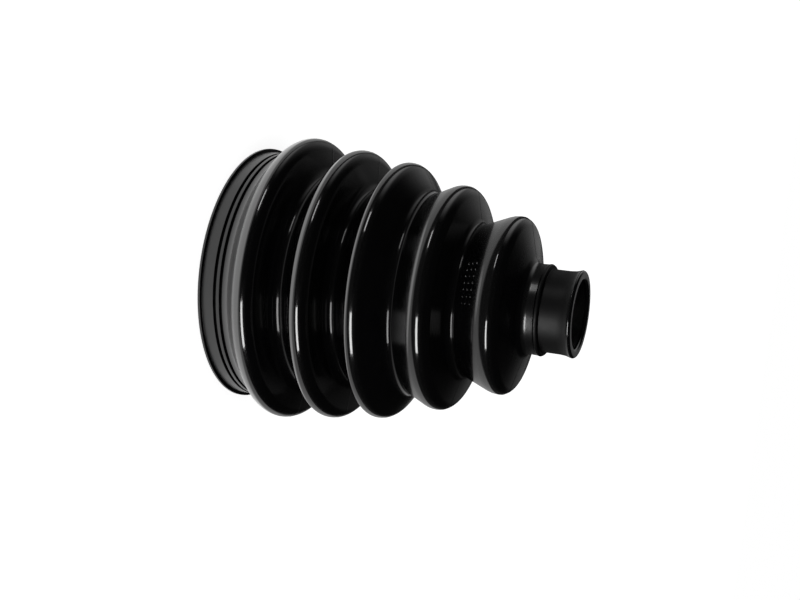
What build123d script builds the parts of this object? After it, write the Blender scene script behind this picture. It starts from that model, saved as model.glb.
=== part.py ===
# Rubber bellows boot for a driveshaft joint, in millimetres.
# It is one moulded skin, open at both ends and round about the Z axis. The large collar
# stands on the XY plane with the origin at the centre of its end face, and the folds
# narrow upwards to the small collar.
import math
import os

from build123d import *

# Large collar: a lip, a flat seat for a band clamp, a rib between two grooves that locates
# the band, and a shoulder that sweeps out into the first fold
large_bore_radius = 37.6
large_collar_wall = 2.6
large_lip_width = 0.9
large_lip_height = 1.1
lip_chamfer = 0.3
large_seat_width = 3.9
locating_groove_width = 0.95
locating_groove_depth = 1.0
locating_rib_width = 1.1
large_shoulder_width = 1.4
large_shoulder_bend = 2.9

# Folds, from the large end: each rises to a crest and falls to a root
crest_1_radius = 46.0
crest_2_radius = 43.5
crest_3_radius = 41.0
crest_4_radius = 35.5
crest_5_radius = 27.8
root_1_radius = 34.1
root_2_radius = 30.9
root_3_radius = 32.2
root_4_radius = 24.1

# Lengths along the axis, from a root (or the collar) up to a crest, and on to the next root
rise_1 = 7.3
rise_2 = 8.9
rise_3 = 9.2
rise_4 = 9.0
rise_5 = 11.1
fall_1 = 8.2
fall_2 = 7.0
fall_3 = 9.6
fall_4 = 7.7
fall_5 = 8.4

# Bends: a crest is rounded more tightly on one side than on the other
crest_1_bend = (4.0, 3.8)
crest_2_bend = (3.4, 3.6)
crest_3_bend = (2.6, 4.2)
crest_4_bend = (5.5, 4.0)
crest_5_bend = (5.0, 3.4)
root_1_bend = 3.7
root_2_bend = 3.0
root_3_bend = 3.0
root_4_bend = 2.2
neck_bend = 2.8

# Wall of the folds, and the tightest bend that its inside is moulded with
fold_wall = 1.8
inner_bend = 0.5

# Small collar: a short neck with a bead, a clamp seat and a mouth that flares to a lip
small_bore_radius = 10.6
small_collar_wall = 2.2
neck_step = 1.1
neck_length = 2.0
bead_width = 1.4
bead_height = 0.25
small_seat_width = 5.3
flare_length = 3.8
flare_height = 0.7
mouth_chamfer = 0.8

# Sealing grooves, which leave narrow lands inside the large bore
seal_groove_count = 2
seal_groove_width = 1.1
seal_groove_depth = 0.4

# Limits that keep small features within what carries them, as shares of its size
bend_share = 0.95  # the two bends of a flank, against its length along the axis
edge_share = 0.4  # a softened edge, against the lip or wall that it softens
groove_share = 0.6  # a sealing groove, against the spacing of the grooves
depth_share = 0.4  # the depth of a groove, against the collar wall that it is cut into


class Bend:
    """A turn of the wall: the height and radius of its tip, and its bend before and after."""

    def __init__(self, z, radius, side, before, after):
        self.z, self.radius, self.side = z, radius, side  # side is 1 at a crest, -1 at a root
        self.before, self.after = before, after

    def centre(self, bend):
        return Vector(self.z, self.radius - self.side * bend)


def hold_flanks(bends):
    """Limits the bends at both ends of each flank, so that a straight stretch stays between."""
    for low, high in zip(bends, bends[1:]):
        share = bend_share * (high.z - low.z) / (low.after + high.before)
        low.after *= min(1, share)
        high.before *= min(1, share)
    return bends


def inside(bends):
    """The same turns one wall further in."""
    moved = []
    for turn in bends:
        grow = -turn.side * fold_wall
        before, after = (max(b + grow, inner_bend) for b in (turn.before, turn.after))
        moved.append(Bend(turn.z, turn.radius - fold_wall, turn.side, before, after))
    moved[0].radius = large_bore_radius  # the collar keeps a wall of its own
    return hold_flanks(moved)


def flank(low, high):
    """Both ends of the straight line that leaves one bend and runs into the next."""
    start, end = low.centre(low.after), high.centre(high.before)
    span = end - start
    reach = (low.after + high.before) / span.length
    along = span.normalized()
    across = Vector(-along.Y, along.X) * low.side
    normal = along * reach + across * math.sqrt(1 - reach**2)
    return start + normal * low.after, end - normal * high.before


def to_plane(point):
    """From (height, radius) to the sketch, whose X is the radius and Y the height."""
    return (point.Y, point.X)


def bend_arc(turn, bend, near, far):
    """An arc of one bend, between its tip and a flank."""
    centre = turn.centre(bend)
    middle = ((near - centre) + (far - centre)).normalized() * bend + centre
    ThreePointArc(to_plane(near), to_plane(middle), to_plane(far))


def wave(bends):
    """Draws the folded line from the tip of the first bend to the tip of the last."""
    for low, high in zip(bends, bends[1:]):
        leave, arrive = flank(low, high)
        bend_arc(low, low.after, Vector(low.z, low.radius), leave)
        Line(to_plane(leave), to_plane(arrive))
        bend_arc(high, high.before, arrive, Vector(high.z, high.radius))


# Heights and radii that follow from the sizes above
large_seat_radius = large_bore_radius + large_collar_wall
large_lip_radius = large_seat_radius + large_lip_height
deepest_groove = depth_share * large_collar_wall
groove_floor_radius = large_seat_radius - min(locating_groove_depth, deepest_groove)
groove_1_low = large_lip_width + large_seat_width
groove_1_high = groove_1_low + locating_groove_width
groove_2_low = groove_1_high + locating_rib_width
groove_2_high = groove_2_low + locating_groove_width
large_collar_top = groove_2_high + large_shoulder_width

small_seat_radius = small_bore_radius + small_collar_wall
neck_radius = small_seat_radius + neck_step
bead_radius = neck_radius + bead_height

rises = (rise_1, rise_2, rise_3, rise_4, rise_5)
falls = (fall_1, fall_2, fall_3, fall_4, fall_5)
crest_radii = (crest_1_radius, crest_2_radius, crest_3_radius, crest_4_radius, crest_5_radius)
root_radii = (root_1_radius, root_2_radius, root_3_radius, root_4_radius, neck_radius)
crest_bends = (crest_1_bend, crest_2_bend, crest_3_bend, crest_4_bend, crest_5_bend)
root_bends = (root_1_bend, root_2_bend, root_3_bend, root_4_bend, neck_bend)

shoulder = Bend(large_collar_top, large_seat_radius, -1, large_shoulder_bend, large_shoulder_bend)
outer_bends = [shoulder]
height = large_collar_top
for rise, fall, crest, root, crest_bend, root_bend in zip(
    rises, falls, crest_radii, root_radii, crest_bends, root_bends
):
    outer_bends.append(Bend(height + rise, crest, 1, *crest_bend))
    outer_bends.append(Bend(height + rise + fall, root, -1, root_bend, root_bend))
    height += rise + fall
hold_flanks(outer_bends)
inner_bends = inside(outer_bends)

bead_low = height + neck_length
bead_high = bead_low + bead_width
flare_low = bead_high + small_seat_width
flare_high = flare_low + flare_length
flare_radius = small_seat_radius + flare_height
mouth_edge = min(mouth_chamfer, edge_share * small_collar_wall)
lip_edge = min(lip_chamfer, edge_share * large_lip_width, edge_share * large_lip_height)
boot_height = flare_high + mouth_edge

seal_groove_spacing = large_collar_top / (seal_groove_count + 1)
half_groove = min(seal_groove_width, groove_share * seal_groove_spacing) / 2
seal_floor_radius = large_bore_radius + min(seal_groove_depth, deepest_groove)
large_bore_line = [(large_bore_radius, 0)]
for place in range(1, seal_groove_count + 1):
    middle = place * seal_groove_spacing
    large_bore_line += [
        (large_bore_radius, middle - half_groove),
        (seal_floor_radius, middle),
        (large_bore_radius, middle + half_groove),
    ]
large_bore_line.append((large_bore_radius, large_collar_top))

with BuildPart() as boot:
    with BuildSketch(Plane.XZ) as section:
        with BuildLine():
            # End face, lip and clamp seat of the large collar, then its two grooves
            Polyline(
                (large_bore_radius, 0),
                (large_lip_radius - lip_edge, 0),
                (large_lip_radius, lip_edge),
                (large_lip_radius, large_lip_width - lip_edge),
                (large_lip_radius - lip_edge, large_lip_width),
                (large_seat_radius, large_lip_width),
                (large_seat_radius, groove_1_low),
                (groove_floor_radius, groove_1_low),
                (groove_floor_radius, groove_1_high),
                (large_seat_radius, groove_1_high),
                (large_seat_radius, groove_2_low),
                (groove_floor_radius, groove_2_low),
                (groove_floor_radius, groove_2_high),
                (large_seat_radius, groove_2_high),
                (large_seat_radius, large_collar_top),
            )
            wave(outer_bends)

            # Neck, bead and clamp seat of the small collar
            Line((neck_radius, height), (neck_radius, bead_low))
            ThreePointArc(
                (neck_radius, bead_low),
                (bead_radius, bead_low + bead_width / 2),
                (neck_radius, bead_high),
            )
            Polyline(
                (neck_radius, bead_high),
                (small_seat_radius, bead_high),
                (small_seat_radius, flare_low),
            )
            TangentArc(
                (small_seat_radius, flare_low), (flare_radius, flare_high), tangent=(0, 1)
            )
            # Mouth, chamfered on both edges, and the small bore
            Polyline(
                (flare_radius, flare_high),
                (flare_radius - mouth_edge, boot_height),
                (small_bore_radius + mouth_edge, boot_height),
                (small_bore_radius, flare_high),
                (small_bore_radius, bead_high),
                (neck_radius - fold_wall, bead_low),
                (neck_radius - fold_wall, height),
            )
            # Inside of the folds, one wall in, and the large bore
            wave(inner_bends)
            Polyline(*large_bore_line)
        make_face()
    revolve(axis=Axis.Z)

boot.part.label = "bellows_boot"
os.makedirs("parts", exist_ok=True)
export_step(boot.part, "parts/bellows_boot.step")
print("height", round(boot_height, 2), "volume", round(boot.part.volume))
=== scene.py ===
# Rubber bellows boot: the moulded skin, its finish, and a plain white studio around it.
import math

import bpy
from mathutils import Matrix, Vector


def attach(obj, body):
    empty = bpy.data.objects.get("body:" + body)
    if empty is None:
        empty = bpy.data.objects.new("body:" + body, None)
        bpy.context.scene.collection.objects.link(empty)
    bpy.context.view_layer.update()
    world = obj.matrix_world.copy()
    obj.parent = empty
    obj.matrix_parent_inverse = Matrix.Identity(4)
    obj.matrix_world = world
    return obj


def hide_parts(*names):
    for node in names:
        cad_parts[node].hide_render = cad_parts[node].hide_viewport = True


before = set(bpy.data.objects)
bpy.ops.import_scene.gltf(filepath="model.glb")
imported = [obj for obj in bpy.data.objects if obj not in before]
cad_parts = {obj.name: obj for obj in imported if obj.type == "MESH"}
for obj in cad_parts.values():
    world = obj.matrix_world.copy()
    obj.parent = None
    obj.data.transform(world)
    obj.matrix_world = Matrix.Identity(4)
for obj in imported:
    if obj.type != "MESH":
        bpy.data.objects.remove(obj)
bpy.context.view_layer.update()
mm = 0.001


def hexColour(code):
    # sRGB hex to a linear colour
    parts = [int(code[i : i + 2], 16) / 255 for i in (1, 3, 5)]
    return [c / 12.92 if c <= 0.04045 else ((c + 0.055) / 1.055) ** 2.4 for c in parts] + [1]


def addNode(tree, kind, sockets=None, **settings):
    # a new node with its settings; a socket given another node's output is linked to it
    node = tree.nodes.new(kind)
    for name, value in settings.items():
        setattr(node, name, value)
    for key, value in (sockets or {}).items():
        if isinstance(value, bpy.types.NodeSocket):
            tree.links.new(value, node.inputs[key])
        else:
            node.inputs[key].default_value = value
    return node


def startTree(name, inputs):
    # an empty geometry tree with named inputs; returns it, its input sockets and their identifiers
    tree = bpy.data.node_groups.new(name, "GeometryNodeTree")
    tree.interface.new_socket("Geometry", in_out="INPUT", socket_type="NodeSocketGeometry")
    tree.interface.new_socket("Geometry", in_out="OUTPUT", socket_type="NodeSocketGeometry")
    keys = {}
    for label, kind in inputs.items():
        socket = tree.interface.new_socket(label, in_out="INPUT", socket_type="NodeSocket" + kind)
        keys[label] = socket.identifier
    return tree, addNode(tree, "NodeGroupInput").outputs, keys


def growPiece(name, points, edges, tree, keys, values, layers=None, finishing=None):
    # runs a geometry tree on a small guide mesh and keeps the result as a plain mesh object
    guide = bpy.data.meshes.new(name + "Guide")
    guide.from_pydata(points, edges, [])
    for layer, (kind, numbers) in (layers or {}).items():
        guide.attributes.new(layer, kind, "POINT").data.foreach_set("value", numbers)
    holder = bpy.data.objects.new(name + "Guide", guide)
    bpy.context.scene.collection.objects.link(holder)
    modifier = holder.modifiers.new("grow", "NODES")
    modifier.node_group = tree
    for label, value in values.items():
        modifier[keys[label]] = value
    if finishing:
        finishing(holder)
    deps = bpy.context.evaluated_depsgraph_get()
    mesh = bpy.data.meshes.new_from_object(
        holder.evaluated_get(deps), preserve_all_data_layers=True, depsgraph=deps
    )
    mesh.name = name
    bpy.data.objects.remove(holder)
    piece = bpy.data.objects.new(name, mesh)
    bpy.context.scene.collection.objects.link(piece)
    return piece


rubberLook = {
    "body": "#070708",  # carbon black rubber
    "bloom": "#0c0c0d",  # its grey cast, where bloom and dust gather
    "bodyIndex": 1.8,
    "skinIndex": 1.85,
    # noise patterns: size (mm), detail, roughness and distortion
    "grain": (0.35, 3.0, 0.6, 0.0),  # the mould's steel, about 0.05 mm, drawn coarser to show
    "ripple": (9.0, 1.0, 0.5, 0.0),  # slow waviness of a thin moulded wall
    "smear": (8.33, 4.0, 0.55, 0.6),  # patches that handling leaves
    "grainDepth": 0.0008,  # mm
    "rippleDepth": 0.01,
    # roughness of the rubber and of its glossy skin: clean, smeared, and where in the smear
    # pattern the change begins and ends
    "bodyHaze": (0.12, 0.2, 0.3, 0.75),
    "skinHaze": (0.04, 0.08, 0.3, 0.8),
    "bloomPatch": (0.42, 0.7),  # where in the same pattern bloom begins, and is full
    # how much of its gloss each place has lost: matt finish on the collars and inside, painted shade
    # in the grooves and the roots
    "seatDull": 0.55,  # lip and clamp seat of the large collar, moulded matt
    "grooveShade": 0.96,  # painted shade: the floors of its two grooves keep almost none of their gloss
    "rootShade": 0.65,  # painted shade: the roots between folds lose gloss
    "smallSeatDull": 0.6,  # clamp seat and bead of the small collar
    "insideDull": 0.4,
    "topShade": 0.85,  # painted shade: faces that look up lose most of their gloss
    "lookingUp": (0.42, 0.62),  # upward part of a face's normal where the painted shade, and dust's roughness, begin and are full
    # matt places, which are rougher: all dusty faces a little, and three bands of the mould,
    # round the large collar up to the first crest, the neck, and the small collar
    "mattHaze": 0.3,  # roughness that a fully matt place adds
    "dustMatt": 0.25,
    # middle height of each band, its reach up and down, its soft edge (mm) and how matt it is
    "mattBands": [(0.0, 15.8, 2.4, 1.0), (95.0, 5.0, 3.0, 0.45), (102.8, 5.2, 0.8, 1.3)],
}


def mouldedRubber():
    # Thermoplastic rubber, injection moulded: near black, with a sharp glossy skin over a softer
    # haze. The collars are matt from the mould, and painted shade takes the gloss from the grooves,
    # the roots and faces that look up.
    look = rubberLook
    material = bpy.data.materials.new("mouldedRubber")
    material.use_nodes = True
    tree = material.node_tree
    tree.nodes.clear()
    place = addNode(tree, "ShaderNodeTexCoord").outputs["Object"]
    height = addNode(tree, "ShaderNodeSeparateXYZ", {0: place}).outputs["Z"]
    dullnessAndShade = addNode(tree, "ShaderNodeAttribute", attribute_name="dullnessAndShade").outputs["Fac"]
    grain, ripple, smear = (
        addNode(
            tree,
            "ShaderNodeTexNoise",
            {
                "Vector": place,
                "Scale": 1 / (size * mm),
                "Detail": detail,
                "Roughness": rough,
                "Distortion": distortion,
            },
        ).outputs["Fac"]
        for size, detail, rough, distortion in (look["grain"], look["ripple"], look["smear"])
    )

    # bloom shows where the skin is dull, in patches
    start, full = look["bloomPatch"]
    patch = addNode(
        tree, "ShaderNodeMapRange", {"Value": smear, "From Min": start, "From Max": full}
    ).outputs["Result"]
    bloom = addNode(
        tree, "ShaderNodeMath", {0: dullnessAndShade, 1: patch}, operation="MULTIPLY"
    ).outputs["Value"]
    colour = addNode(
        tree,
        "ShaderNodeMix",
        {"Factor": bloom, "A": hexColour(look["body"]), "B": hexColour(look["bloom"])},
        data_type="RGBA",
    ).outputs["Result"]

    # gloss: what the painted shade leaves on faces that look up, times what the place has kept
    facing = addNode(tree, "ShaderNodeNewGeometry").outputs["Normal"]
    upward = addNode(tree, "ShaderNodeSeparateXYZ", {0: facing}).outputs["Z"]
    start, full = look["lookingUp"]
    upwardDustAndShade = addNode(
        tree,
        "ShaderNodeMapRange",
        {"Value": upward, "From Min": start, "From Max": full},
        interpolation_type="SMOOTHSTEP",
    ).outputs["Result"]
    sheenUnderTopShade = addNode(
        tree,
        "ShaderNodeMath",
        {0: upwardDustAndShade, 1: -look["topShade"], 2: 1.0},
        operation="MULTIPLY_ADD",
    ).outputs["Value"]
    ownSheen = addNode(
        tree, "ShaderNodeMath", {0: 1.0, 1: dullnessAndShade}, operation="SUBTRACT"
    ).outputs["Value"]
    sheen = addNode(
        tree, "ShaderNodeMath", {0: sheenUnderTopShade, 1: ownSheen}, operation="MULTIPLY"
    ).outputs["Value"]
    # the body's own specular level is 0.5 where nothing dulls it
    level = addNode(
        tree, "ShaderNodeMath", {0: sheen, 1: 0.5}, operation="MULTIPLY"
    ).outputs["Value"]

    # a place is as matt as its dust or the strongest of the mould's bands makes it
    matt = addNode(
        tree, "ShaderNodeMath", {0: upwardDustAndShade, 1: look["dustMatt"]}, operation="MULTIPLY"
    ).outputs["Value"]
    for middle, reach, soft, share in look["mattBands"]:
        away = addNode(
            tree, "ShaderNodeMath", {0: height, 1: middle * mm}, operation="SUBTRACT"
        ).outputs["Value"]
        away = addNode(tree, "ShaderNodeMath", {0: away}, operation="ABSOLUTE").outputs["Value"]
        band = addNode(
            tree,
            "ShaderNodeMapRange",
            {
                "Value": away,
                "From Min": (reach - soft) * mm,
                "From Max": reach * mm,
                "To Min": share,
                "To Max": 0.0,
            },
            interpolation_type="SMOOTHSTEP",
        ).outputs["Result"]
        matt = addNode(
            tree, "ShaderNodeMath", {0: matt, 1: band}, operation="MAXIMUM"
        ).outputs["Value"]
    hazes = []
    for clean, smeared, start, full in (look["bodyHaze"], look["skinHaze"]):
        haze = addNode(
            tree,
            "ShaderNodeMapRange",
            {
                "Value": smear,
                "From Min": start,
                "From Max": full,
                "To Min": clean,
                "To Max": smeared,
            },
        ).outputs["Result"]
        haze = addNode(
            tree,
            "ShaderNodeMath",
            {0: matt, 1: look["mattHaze"], 2: haze},
            operation="MULTIPLY_ADD",
        ).outputs["Value"]
        hazes.append(haze)
    bodyHaze, skinHaze = hazes

    waves = addNode(
        tree,
        "ShaderNodeBump",
        {"Height": ripple, "Distance": look["rippleDepth"] * mm, "Strength": 1.0},
    ).outputs["Normal"]
    surface = addNode(
        tree,
        "ShaderNodeBump",
        {"Height": grain, "Distance": look["grainDepth"] * mm, "Strength": 1.0, "Normal": waves},
    ).outputs["Normal"]
    shader = addNode(
        tree,
        "ShaderNodeBsdfPrincipled",
        {
            "Base Color": colour,
            "Roughness": bodyHaze,
            "IOR": look["bodyIndex"],
            "Specular IOR Level": level,
            "Normal": surface,
            "Coat Weight": sheen,
            "Coat Roughness": skinHaze,
            "Coat IOR": look["skinIndex"],
            "Coat Normal": surface,
        },
    )
    addNode(tree, "ShaderNodeOutputMaterial", {"Surface": shader.outputs["BSDF"]})
    return material


rubber = mouldedRubber()
print("finish: moulded rubber")

boot = {
    # large collar: bore, wall, end lip, clamp seat, two grooves beside a rib, shoulder (mm)
    "largeBore": 37.6,
    "largeWall": 2.6,
    "lipWidth": 0.9,
    "lipHeight": 1.1,
    "lipRounds": (0.3, 0.15),  # on the end face's side, and on the seat's
    "seatWidth": 3.9,
    "grooveWidth": 0.95,
    "grooveDepth": 1.0,
    "ribWidth": 1.1,
    "shoulderWidth": 1.4,
    "shoulderBend": 1.0,
    # folds from the large end: rise, fall, crest radius, its bend before and after, root
    # radius, root bend; the last root is the neck
    "folds": [
        (7.3, 8.2, 46.0, 4.0, 3.8, 34.1, 3.7),
        (8.9, 7.0, 43.5, 3.4, 3.6, 30.9, 3.0),
        (9.2, 9.6, 41.0, 2.6, 4.2, 32.2, 3.0),
        (9.0, 7.7, 35.5, 5.5, 4.0, 24.1, 2.2),
        (11.1, 8.4, 27.8, 8.0, 3.4, 13.9, 2.8),
    ],
    "wall": 1.8,
    "insideBend": 0.5,  # the tightest bend inside
    # small collar: bore, wall, neck, neck bead, clamp seat and flared mouth
    "smallBore": 10.6,
    "smallWall": 2.2,
    "neckLength": 2.0,
    "neckWaist": 0.18,  # how much the neck widens again towards its bead
    "beadWidth": 1.4,
    "beadHeight": 0.25,
    "smallSeatWidth": 5.3,
    "flareLength": 3.8,
    "flareHeight": 0.7,
    "mouthRound": 0.8,
    # sealing grooves inside the large bore
    "sealGrooves": 2,
    "sealWidth": 1.1,
    "sealDepth": 0.4,
    # the mould: softened edges, and the parting line up both sides
    "edgeSoft": 0.12,
    "partingProud": 0.05,
    "partingWidth": 0.3,
    "partingCrowding": 0.8,  # how closely steps crowd towards it, from 0 to 1
    # the mesh: steps round the axis, degrees in a step round a bend outside and inside, steps
    # round a softened edge, and how close two points are welded (mm)
    "stepsAround": 256,
    "stepAngles": (9.0, 18.0),
    "edgeSteps": 2,
    "weld": 0.004,
    "flatWeight": 90,  # how strongly flat faces keep their own shading, from 1 to 100
}
largeSeat = boot["largeBore"] + boot["largeWall"]
smallSeat = boot["smallBore"] + boot["smallWall"]
collarTop = (
    boot["lipWidth"]
    + boot["seatWidth"]
    + 2 * boot["grooveWidth"]
    + boot["ribWidth"]
    + boot["shoulderWidth"]
)


def foldTips():
    # the tips of crests and roots up the outside: height, radius, side, bends before and after
    height = collarTop
    tips = [(collarTop, largeSeat, -1, 0, boot["shoulderBend"])]
    for rise, fall, crest, bendBefore, bendAfter, root, rootBend in boot["folds"]:
        tips.append((height + rise, crest, 1, bendBefore, bendAfter))
        tips.append((height + rise + fall, root, -1, rootBend, rootBend))
        height += rise + fall
    return tips


def insideTips(tips):
    # the same tips one wall further in, where a crest bends tighter and a root wider
    wall, least = boot["wall"], boot["insideBend"]
    moved = []
    for height, radius, side, before, after in tips:
        bends = [max(bend - side * wall, least) for bend in (before, after)]
        moved.append((height, radius - wall, side, *bends))
    moved[0] = (collarTop, boot["largeBore"], *moved[0][2:])  # the collar has its own wall
    return moved


def flankCorners(low, high):
    # where the straight flank between two tips would meet the lines along both tips
    lowHeight, lowRadius, lowSide, _, startBend = low
    highHeight, highRadius, highSide, endBend, _ = high
    start = Vector((lowHeight, lowRadius - lowSide * startBend))
    end = Vector((highHeight, highRadius - highSide * endBend))
    span = end - start
    reach = (startBend + endBend) / span.length
    along = span.normalized()
    across = Vector((-along.y, along.x)) * lowSide
    normal = along * reach + across * math.sqrt(1 - reach**2)
    leave, arrive = start + normal * startBend, end - normal * endBend
    slope = (arrive.x - leave.x) / (arrive.y - leave.y)
    return [
        (lowRadius, leave.x + (lowRadius - leave.y) * slope, startBend),
        (highRadius, leave.x + (highRadius - leave.y) * slope, endBend),
    ]


def outsideCorners():
    # up the outside of the cut skin: each corner's radius, height, bend, and its loss of gloss, from
    # matt finish on the collars and from painted shade in the grooves and roots
    soft = boot["edgeSoft"]
    look = rubberLook

    # lip, clamp seat and grooves of the large collar
    lip, width, dull = largeSeat + boot["lipHeight"], boot["grooveWidth"], look["seatDull"]
    endRound, seatRound = boot["lipRounds"]
    corners = [
        (lip, 0, endRound, dull),
        (lip, boot["lipWidth"], seatRound, dull),
        (largeSeat, boot["lipWidth"], soft, dull),
    ]
    # the groove floors carry a painted shade
    grooveFloor = largeSeat - boot["grooveDepth"]
    grooveLow = boot["lipWidth"] + boot["seatWidth"]
    for low in (grooveLow, grooveLow + width + boot["ribWidth"]):
        corners += [
            (largeSeat, low, soft, dull),
            (grooveFloor, low, soft, look["grooveShade"]),
            (grooveFloor, low + width, soft, look["grooveShade"]),
            (largeSeat, low + width, soft, dull),
        ]

    # folds, with painted shade in every root between two of them
    tips = foldTips()
    shadedRoots = tips[2:-1:2]
    for low, high in zip(tips, tips[1:]):
        for tip, corner in zip((low, high), flankCorners(low, high)):
            corners.append((*corner, look["rootShade"] if tip in shadedRoots else 0.0))

    # neck bead (a shallow arc, met as one bent corner), clamp seat, flare and mouth
    dull = look["smallSeatDull"]
    neckLow, neckRadius = tips[-1][:2]
    beadLow = neckLow + boot["neckLength"]
    half = boot["beadWidth"] / 2
    beadBend = (half**2 + boot["beadHeight"] ** 2) / (2 * boot["beadHeight"])
    apex = half * math.tan(math.asin(half / beadBend))
    seatStart = beadLow + boot["beadWidth"]
    seatEnd = seatStart + boot["smallSeatWidth"]
    flareEnd = seatEnd + boot["flareLength"]
    flareBend = (boot["flareLength"] ** 2 + boot["flareHeight"] ** 2) / (2 * boot["flareHeight"])
    flareTurn = math.atan2(boot["flareHeight"], boot["flareLength"])
    mouth, edge = smallSeat + boot["flareHeight"], boot["mouthRound"]
    return corners + [
        (neckRadius + boot["neckWaist"], beadLow, soft, 0.0),
        (neckRadius + apex, beadLow + half, beadBend, dull),
        (neckRadius, seatStart, soft, dull),
        (smallSeat, seatStart, soft, dull),
        (smallSeat, seatEnd + flareBend * math.tan(flareTurn), flareBend, dull),
        (mouth, flareEnd, soft, 0.0),
        (mouth, flareEnd + edge, edge, 0.0),
        (boot["smallBore"], flareEnd + edge, edge, 0.0),
    ]


def insideCorners():
    # down the inside of the cut skin, in the same terms
    soft, bore = boot["edgeSoft"], boot["largeBore"]
    corners = [(bore, 0, soft)]
    half = boot["sealWidth"] / 2
    for place in range(1, boot["sealGrooves"] + 1):
        middle = place * collarTop / (boot["sealGrooves"] + 1)
        for offset, depth in ((-half, 0), (0, boot["sealDepth"]), (half, 0)):
            corners.append((bore + depth, middle + offset, soft))
    tips = insideTips(foldTips())
    for low, high in zip(tips, tips[1:]):
        corners += flankCorners(low, high)
    neckLow, neckRadius = tips[-1][:2]
    beadLow = neckLow + boot["neckLength"]
    corners += [
        (neckRadius, beadLow, soft),
        (boot["smallBore"], beadLow + boot["beadWidth"], soft),
    ]
    return [(*corner, rubberLook["insideDull"]) for corner in reversed(corners)]


def bendSteps(before, corner, after, stepAngle):
    # how many steps round off a corner; a softened edge takes few
    bend = corner[2]
    if bend <= 2 * boot["edgeSoft"]:
        return boot["edgeSteps"]
    before, here, after = (Vector(spot[:2]) for spot in (before, corner, after))
    turn = math.degrees((here - before).angle(after - here, 0.0))
    return max(1, round(turn / stepAngle))


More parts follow.
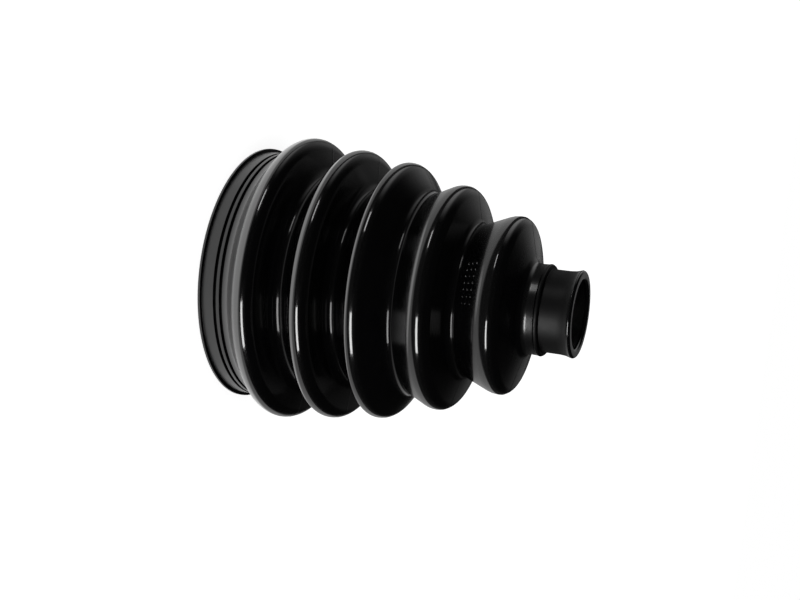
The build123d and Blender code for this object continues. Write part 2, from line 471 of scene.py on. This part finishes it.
def turnTree():
    # rounds a ring of corners, each by its own bend, and turns it once about the Z axis
    tree, given, keys = startTree(
        "turnedSkin",
        {
            "Steps Around": "Int",
            "Crowding": "Float",
            "Parting Proud": "Float",
            "Parting Width": "Float",
            "Weld": "Float",
            "Material": "Material",
        },
    )
    bend = addNode(
        tree, "GeometryNodeInputNamedAttribute", {"Name": "bend"}, data_type="FLOAT"
    ).outputs["Attribute"]
    steps = addNode(
        tree, "GeometryNodeInputNamedAttribute", {"Name": "steps"}, data_type="INT"
    ).outputs["Attribute"]
    ring = addNode(tree, "GeometryNodeMeshToCurve", {"Mesh": given["Geometry"]}).outputs[0]
    section = addNode(
        tree,
        "GeometryNodeFilletCurve",
        {"Curve": ring, "Count": steps, "Radius": bend, "Limit Radius": True},
        mode="POLY",
    ).outputs[0]
    count = addNode(
        tree, "GeometryNodeAttributeDomainSize", {"Geometry": section}, component="CURVE"
    ).outputs["Point Count"]

    # a grid with a row for each point of the section; its Y runs over the whole turn
    rows = addNode(tree, "ShaderNodeMath", {0: count, 1: 1.0}, operation="ADD").outputs[0]
    columns = addNode(
        tree, "ShaderNodeMath", {0: given["Steps Around"], 1: 1.0}, operation="ADD"
    ).outputs[0]
    grid = addNode(
        tree,
        "GeometryNodeMeshGrid",
        {"Size X": count, "Size Y": 2 * math.pi, "Vertices X": rows, "Vertices Y": columns},
    ).outputs["Mesh"]
    spot = addNode(tree, "GeometryNodeInputPosition").outputs[0]
    spread = addNode(tree, "ShaderNodeSeparateXYZ", {0: spot}).outputs
    row = addNode(
        tree, "ShaderNodeMath", {0: count, 1: 0.5, 2: spread["X"]}, operation="MULTIPLY_ADD"
    ).outputs[0]
    row = addNode(tree, "ShaderNodeMath", {0: row}, operation="ROUND").outputs[0]
    pick = addNode(tree, "ShaderNodeMath", {0: row, 1: count}, operation="MODULO").outputs[0]

    # steps crowd towards the parting line on both sides
    twice = addNode(
        tree, "ShaderNodeMath", {0: spread["Y"], 1: 2.0}, operation="MULTIPLY"
    ).outputs[0]
    swing = addNode(tree, "ShaderNodeMath", {0: twice}, operation="SINE").outputs[0]
    lean = addNode(
        tree, "ShaderNodeMath", {0: given["Crowding"], 1: -0.5}, operation="MULTIPLY"
    ).outputs[0]
    turn = addNode(
        tree, "ShaderNodeMath", {0: swing, 1: lean, 2: spread["Y"]}, operation="MULTIPLY_ADD"
    ).outputs[0]

    # what each row takes from its point of the section
    tangent = addNode(tree, "GeometryNodeInputTangent").outputs[0]
    outward = addNode(
        tree, "ShaderNodeVectorMath", {0: (0, 1, 0), 1: tangent}, operation="CROSS_PRODUCT"
    ).outputs[0]
    taken = {"place": (spot, "FLOAT_VECTOR"), "outward": (outward, "FLOAT_VECTOR")}
    for label in ("parting", "dullnessAndShade"):
        value = addNode(
            tree, "GeometryNodeInputNamedAttribute", {"Name": label}, data_type="FLOAT"
        ).outputs["Attribute"]
        taken[label] = (value, "FLOAT")
    for label, (value, kind) in taken.items():
        taken[label] = addNode(
            tree,
            "GeometryNodeSampleIndex",
            {"Geometry": section, "Value": value, "Index": pick},
            data_type=kind,
            domain="POINT",
        ).outputs["Value"]

    # the parting line stands proud where the two halves of the mould met
    radius = addNode(tree, "ShaderNodeSeparateXYZ", {0: taken["place"]}).outputs["X"]
    side = addNode(tree, "ShaderNodeMath", {0: turn}, operation="SINE").outputs[0]
    away = addNode(tree, "ShaderNodeMath", {0: radius, 1: side}, operation="MULTIPLY").outputs[0]
    away = addNode(tree, "ShaderNodeMath", {0: away}, operation="ABSOLUTE").outputs[0]
    ridge = addNode(
        tree,
        "ShaderNodeMapRange",
        {
            "Value": away,
            "From Min": 0.0,
            "From Max": given["Parting Width"],
            "To Min": given["Parting Proud"],
            "To Max": 0.0,
        },
        interpolation_type="SMOOTHSTEP",
    ).outputs["Result"]
    ridge = addNode(
        tree, "ShaderNodeMath", {0: ridge, 1: taken["parting"]}, operation="MULTIPLY"
    ).outputs[0]
    lifted = addNode(
        tree, "ShaderNodeVectorMath", {0: taken["outward"], "Scale": ridge}, operation="SCALE"
    ).outputs[0]
    place = addNode(tree, "ShaderNodeVectorMath", {0: taken["place"], 1: lifted}).outputs[0]
    turned = addNode(
        tree,
        "ShaderNodeVectorRotate",
        {"Vector": place, "Axis": (0, 0, 1), "Angle": turn},
        rotation_type="AXIS_ANGLE",
    ).outputs[0]

    # the turned grid is welded to itself both ways, and faces outwards once it is flipped
    skin = addNode(
        tree,
        "GeometryNodeStoreNamedAttribute",
        {"Geometry": grid, "Name": "dullnessAndShade", "Value": taken["dullnessAndShade"]},
        data_type="FLOAT",
        domain="POINT",
    ).outputs[0]
    skin = addNode(
        tree, "GeometryNodeSetPosition", {"Geometry": skin, "Position": turned}
    ).outputs[0]
    skin = addNode(
        tree, "GeometryNodeMergeByDistance", {"Geometry": skin, "Distance": given["Weld"]}
    ).outputs[0]
    skin = addNode(tree, "GeometryNodeFlipFaces", {"Mesh": skin}).outputs[0]
    skin = addNode(tree, "GeometryNodeSetShadeSmooth", {"Geometry": skin}).outputs[0]
    skin = addNode(tree, "GeometryNodeRealizeInstances", {"Geometry": skin}).outputs[0]
    skin = addNode(
        tree, "GeometryNodeSetMaterial", {"Geometry": skin, "Material": given["Material"]}
    ).outputs[0]
    addNode(tree, "NodeGroupOutput", {"Geometry": skin})
    return tree, keys


def weighNormals(holder):
    # flat faces keep their own shading beside the small bends
    weigh = holder.modifiers.new("flatFaces", "WEIGHTED_NORMAL")
    weigh.weight = boot["flatWeight"]
    weigh.keep_sharp = True


outside, inside = outsideCorners(), insideCorners()
corners = outside + inside
following = corners[1:] + corners[:1]
outsideAngle, insideAngle = boot["stepAngles"]
angles = [outsideAngle] * len(outside) + [insideAngle] * len(inside)
steps = [bendSteps(*turn) for turn in zip(corners[-1:] + corners, corners, following, angles)]
# the parting line ends at the lip's edge and at the mouth's
parting = [1.0 if corner in outside[1:-2] else 0.0 for corner in corners]
turning, turnKeys = turnTree()
bellows = growPiece(
    "bellowsSkin",
    [(radius * mm, 0, height * mm) for radius, height, bend, dull in corners],
    [(place, (place + 1) % len(corners)) for place in range(len(corners))],
    turning,
    turnKeys,
    {
        "Steps Around": boot["stepsAround"],
        "Crowding": boot["partingCrowding"],
        "Parting Proud": boot["partingProud"] * mm,
        "Parting Width": boot["partingWidth"] * mm,
        "Weld": boot["weld"] * mm,
        "Material": rubber,
    },
    layers={
        "bend": ("FLOAT", [bend * mm for radius, height, bend, dull in corners]),
        "steps": ("INT", steps),
        "parting": ("FLOAT", parting),
        "dullnessAndShade": ("FLOAT", [dull for radius, height, bend, dull in corners]),
    },
    finishing=weighNormals,
)
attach(bellows, "root")
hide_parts("bellows_boot")
print("boot skin:", len(bellows.data.vertices), "points,", len(bellows.data.polygons), "faces")

marks = {
    "columns": 7,
    "rows": 3,
    "rowGap": 1.5,  # mm
    "size": (0.36, 0.3, 0.5),  # mm from the middle of one: outward, along the round, up the flank
    "steps": (12, 8),  # round one mark, and over it
    "height": 78.6,  # mm, of the lowest row
    "start": -25.0,  # degrees round from the front
    "pitch": 4.6,  # degrees from column to column
    "stretch": (0.75, 1.15),  # least and most, along the round
    "seed": 3,
}


def markTree():
    # columns of raised marks round the Z axis, some a little wider than others
    tree, given, keys = startTree(
        "markColumns",
        {
            "Columns": "Int",
            "Rows": "Int",
            "Row Step": "Vector",
            "Start": "Float",
            "Pitch": "Float",
            "Size": "Vector",
            "Segments": "Int",
            "Rings": "Int",
            "Place": "Vector",
            "Tilt": "Float",
            "Least Stretch": "Float",
            "Most Stretch": "Float",
            "Seed": "Int",
            "Material": "Material",
        },
    )
    mark = addNode(
        tree,
        "GeometryNodeMeshUVSphere",
        {"Segments": given["Segments"], "Rings": given["Rings"], "Radius": 1.0},
    ).outputs["Mesh"]
    mark = addNode(tree, "GeometryNodeSetShadeSmooth", {"Geometry": mark}).outputs[0]
    tilt = addNode(tree, "ShaderNodeCombineXYZ", {"Y": given["Tilt"]}).outputs[0]
    mark = addNode(
        tree,
        "GeometryNodeTransform",
        {
            "Geometry": mark,
            "Translation": given["Place"],
            "Rotation": tilt,
            "Scale": given["Size"],
        },
    ).outputs[0]
    rows = addNode(
        tree, "GeometryNodeMeshLine", {"Count": given["Rows"], "Offset": given["Row Step"]}
    ).outputs["Mesh"]
    column = addNode(
        tree, "GeometryNodeInstanceOnPoints", {"Points": rows, "Instance": mark}
    ).outputs[0]
    line = addNode(
        tree, "GeometryNodeMeshLine", {"Count": given["Columns"], "Offset": (0, 0, 0)}
    ).outputs["Mesh"]
    index = addNode(tree, "GeometryNodeInputIndex").outputs[0]
    angle = addNode(
        tree,
        "ShaderNodeMath",
        {0: index, 1: given["Pitch"], 2: given["Start"]},
        operation="MULTIPLY_ADD",
    ).outputs[0]
    turn = addNode(tree, "ShaderNodeCombineXYZ", {"Z": angle}).outputs[0]
    width = addNode(
        tree,
        "FunctionNodeRandomValue",
        {"Min": given["Least Stretch"], "Max": given["Most Stretch"], "Seed": given["Seed"]},
    ).outputs["Value"]
    stretch = addNode(tree, "ShaderNodeCombineXYZ", {"X": 1.0, "Y": width, "Z": 1.0}).outputs[0]
    group = addNode(
        tree,
        "GeometryNodeInstanceOnPoints",
        {"Points": line, "Instance": column, "Rotation": turn, "Scale": stretch},
    ).outputs[0]
    group = addNode(tree, "GeometryNodeRealizeInstances", {"Geometry": group}).outputs[0]
    group = addNode(
        tree, "GeometryNodeSetMaterial", {"Geometry": group, "Material": given["Material"]}
    ).outputs[0]
    addNode(tree, "NodeGroupOutput", {"Geometry": group})
    return tree, keys


# the marks stand on the flank between the last root and the last crest
lastRoot, lastCrest = foldTips()[-3:-1]
(lowRadius, lowHeight, _), (highRadius, highHeight, _) = flankCorners(lastRoot, lastCrest)
flankTilt = math.atan2(highRadius - lowRadius, highHeight - lowHeight)
markRadius = lowRadius + (marks["height"] - lowHeight) * math.tan(flankTilt)
rowStep = [math.sin(flankTilt) * marks["rowGap"] * mm, 0, math.cos(flankTilt) * marks["rowGap"] * mm]
segments, rings = marks["steps"]
least, most = marks["stretch"]
marking, markKeys = markTree()
markGroup = growPiece(
    "mouldMarks",
    [(0, 0, 0)],
    [],
    marking,
    markKeys,
    {
        "Columns": marks["columns"],
        "Rows": marks["rows"],
        "Row Step": rowStep,
        "Start": math.radians(-90 + marks["start"]),
        "Pitch": math.radians(marks["pitch"]),
        "Size": [value * mm for value in marks["size"]],
        "Segments": segments,
        "Rings": rings,
        "Place": (markRadius * mm, 0, marks["height"] * mm),
        "Tilt": flankTilt,
        "Least Stretch": least,
        "Most Stretch": most,
        "Seed": marks["seed"],
        "Material": rubber,
    },
)
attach(markGroup, "root")
print("raised marks:", marks["columns"] * marks["rows"])

studio = {
    "white": "#f4f4f4",
    "floorSize": 6.0,  # m
    "floorGlow": 0.85,  # what keeps the paper white to the camera, under its own shading
    # what gloss sees of the paper is painted light: the round board that carries it, and a painted
    # pool of light round the boot; centre, full out to, faded at (mm), and what is left further out
    "patches": [((0.0, 130.0), 226.0, 250.0, 0.07), ((-5.0, -12.0), 62.0, 78.0, 0.34)],
}


def whitePaper():
    # matt white paper: white to the camera, and a painted glow in reflections as far as its patches
    # go
    material = bpy.data.materials.new("whitePaper")
    material.use_nodes = True
    tree = material.node_tree
    tree.nodes.clear()
    rays = addNode(tree, "ShaderNodeLightPath").outputs
    place = addNode(tree, "ShaderNodeTexCoord").outputs["Object"]
    paintedLight = 1.0
    for centre, full, faded, left in studio["patches"]:
        centre = [value * mm for value in (*centre, 0)]
        away = addNode(
            tree, "ShaderNodeVectorMath", {0: place, 1: centre}, operation="DISTANCE"
        ).outputs["Value"]
        patch = addNode(
            tree,
            "ShaderNodeMapRange",
            {
                "Value": away,
                "From Min": full * mm,
                "From Max": faded * mm,
                "To Min": 1.0,
                "To Max": left,
            },
            interpolation_type="SMOOTHSTEP",
        ).outputs["Result"]
        paintedLight = addNode(tree, "ShaderNodeMath", {0: paintedLight, 1: patch}, operation="MULTIPLY").outputs[0]
    seen = addNode(
        tree,
        "ShaderNodeMath",
        {0: rays["Is Camera Ray"], 1: rays["Is Transmission Ray"]},
        operation="MAXIMUM",
    ).outputs[0]
    glow = addNode(
        tree, "ShaderNodeMath", {0: seen, 1: studio["floorGlow"]}, operation="MULTIPLY"
    ).outputs[0]
    white = hexColour(studio["white"])
    paper = addNode(tree, "ShaderNodeBsdfDiffuse", {"Color": white}).outputs[0]
    light = addNode(tree, "ShaderNodeEmission", {"Color": white, "Strength": glow}).outputs[0]
    shown = addNode(tree, "ShaderNodeAddShader", {0: paper, 1: light}).outputs[0]
    paintedReflection = addNode(tree, "ShaderNodeEmission", {"Color": white, "Strength": paintedLight}).outputs[0]
    both = addNode(
        tree, "ShaderNodeMixShader", {0: rays["Is Glossy Ray"], 1: shown, 2: paintedReflection}
    ).outputs[0]
    addNode(tree, "ShaderNodeOutputMaterial", {"Surface": both})
    return material


half = studio["floorSize"] / 2
spots = [(-half, -half, 0), (half, -half, 0), (half, half, 0), (-half, half, 0)]
sheet = bpy.data.meshes.new("floor")
sheet.from_pydata(spots, [], [range(len(spots))])
sheet.materials.append(whitePaper())
floor = bpy.data.objects.new("floor", sheet)
bpy.context.scene.collection.objects.link(floor)
print("stage: floor")

lamps = {
    # bearing (degrees round from the front), distance, height of its middle, width, height
    # (mm) and brightness, where 1 is white
    "keyPanel": (39.5, 388.0, 62.0, 244.0, 96.0, 4.4),
    "sidePanel": (-51.5, 250.0, 36.0, 76.0, 26.0, 2.4),
}
for name, (bearing, distance, middle, width, height, bright) in lamps.items():
    lamp = bpy.data.lights.new(name, "AREA")
    lamp.shape = "RECTANGLE"
    lamp.size, lamp.size_y = width * mm, height * mm
    lamp.energy = bright * math.pi * lamp.size * lamp.size_y
    panel = bpy.data.objects.new(name, lamp)
    angle = math.radians(bearing)
    panel.location = Vector((math.sin(angle), -math.cos(angle), 0)) * distance * mm
    panel.rotation_euler = (math.pi / 2, 0, angle)
    panel.location.z = middle * mm
    bpy.context.scene.collection.objects.link(panel)

room = {
    "fill": 0.4,  # what reaches matt surfaces from all round
    "dark": 0.009,  # what gloss sees of the room
    # the backdrop glows low down behind the boot, to the left: its direction, how strongly,
    # the cosine of the angle from there where its glow ends, and the upward part of a
    # direction where it begins to fade, and ends
    "backdrop": (-0.65, 0.76, 0),
    "backdropGlow": 0.4,
    "backdropEnd": 0.45,
    "backdropTop": (0.15, 0.6),
}


def studioRoom():
    # white to the camera, and dark in reflections but for the backdrop
    world = bpy.data.worlds.new("studioRoom")
    world.use_nodes = True
    tree = world.node_tree
    tree.nodes.clear()
    rays = addNode(tree, "ShaderNodeLightPath").outputs
    aim = addNode(tree, "ShaderNodeTexCoord").outputs["Generated"]
    behind = addNode(
        tree, "ShaderNodeVectorMath", {0: aim, 1: room["backdrop"]}, operation="DOT_PRODUCT"
    ).outputs["Value"]
    upward = addNode(tree, "ShaderNodeSeparateXYZ", {0: aim}).outputs["Z"]
    towards = addNode(
        tree,
        "ShaderNodeMapRange",
        {
            "Value": behind,
            "From Min": room["backdropEnd"],
            "From Max": 1.0,
            "To Min": 0.0,
            "To Max": room["backdropGlow"],
        },
        interpolation_type="SMOOTHSTEP",
    ).outputs["Result"]
    fading, ended = room["backdropTop"]
    low = addNode(
        tree,
        "ShaderNodeMapRange",
        {"Value": upward, "From Min": fading, "From Max": ended, "To Min": 1.0, "To Max": 0.0},
        interpolation_type="SMOOTHSTEP",
    ).outputs["Result"]
    glow = addNode(
        tree, "ShaderNodeMath", {0: towards, 1: low, 2: room["dark"]}, operation="MULTIPLY_ADD"
    ).outputs[0]
    dark, fill, white = (
        addNode(
            tree, "ShaderNodeBackground", {"Color": (1, 1, 1, 1), "Strength": strength}
        ).outputs[0]
        for strength in (glow, room["fill"], 1.0)
    )
    unseen = addNode(
        tree, "ShaderNodeMixShader", {0: rays["Is Diffuse Ray"], 1: dark, 2: fill}
    ).outputs[0]
    seen = addNode(
        tree,
        "ShaderNodeMath",
        {0: rays["Is Camera Ray"], 1: rays["Is Transmission Ray"]},
        operation="MAXIMUM",
    ).outputs[0]
    sky = addNode(tree, "ShaderNodeMixShader", {0: seen, 1: unseen, 2: white}).outputs[0]
    addNode(tree, "ShaderNodeOutputWorld", {"Surface": sky})
    return world


bpy.context.scene.world = studioRoom()
print("light: two panels and a plain room")

shot = {
    "place": (0, -358.84, 183.17),  # mm
    "aim": (2.894, 0, 50.386),
    "roll": 97.71,  # degrees, which lays the boot on its side
    "lens": 53.755,  # mm, on a sensor of Blender's own 36 mm
}
lens = bpy.data.cameras.new("shotCamera")
lens.lens = shot["lens"]
camera = bpy.data.objects.new("shotCamera", lens)
camera.location = Vector(shot["place"]) * mm
look = (Vector(shot["aim"]) - Vector(shot["place"])).to_track_quat("-Z", "Y")
camera.rotation_euler = (
    look.to_matrix() @ Matrix.Rotation(math.radians(shot["roll"]), 3, "Z")
).to_euler()
bpy.context.scene.collection.objects.link(camera)
bpy.context.scene.camera = camera
bpy.context.scene.view_settings.view_transform = "Standard"
print("camera: in place")
